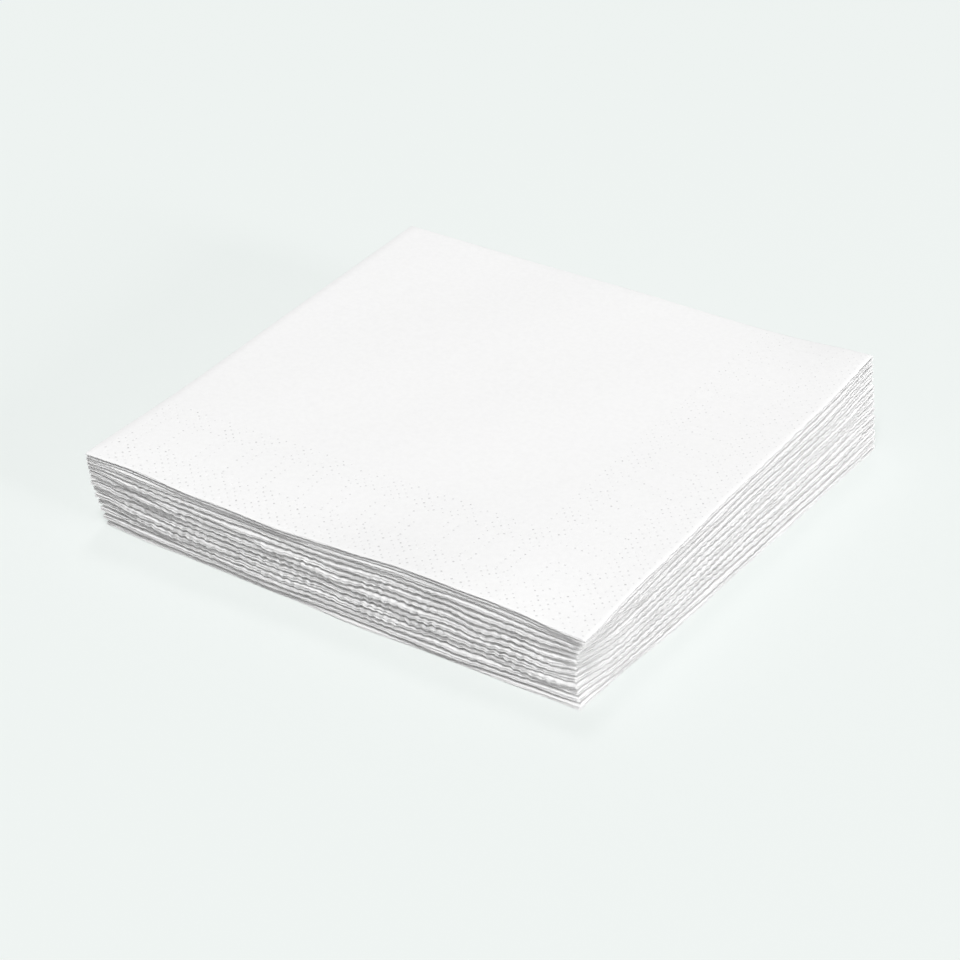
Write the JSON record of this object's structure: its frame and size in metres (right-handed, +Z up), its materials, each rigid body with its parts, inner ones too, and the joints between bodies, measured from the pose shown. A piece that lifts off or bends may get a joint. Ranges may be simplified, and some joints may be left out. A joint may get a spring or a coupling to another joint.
{
  "type": "stack of paper napkins",
  "caption": "Soft white square paper napkins with a dotted embossed border, each folded in quarters, laid in a slightly turned stack that lies flat.",
  "frame": {"origin": "on the table under the middle of the stack's outline", "axes": "+Z up; +X towards the first fold's cut edges, +Y towards the second fold"},
  "size_m": [0.1698, 0.1688, 0.0298],
  "materials": {
    "tissue": "matte, soft, embossed"
  },
  "bodies": {
    "root": {"napkin_01": "tissue", "napkin_02": "tissue", "napkin_03": "tissue", "napkin_04": "tissue", "napkin_05": "tissue", "napkin_06": "tissue", "napkin_07": "tissue", "napkin_08": "tissue", "napkin_09": "tissue", "napkin_10": "tissue", "napkin_11": "tissue", "napkin_12": "tissue", "napkin_13": "tissue"}
  },
  "joints": []
}
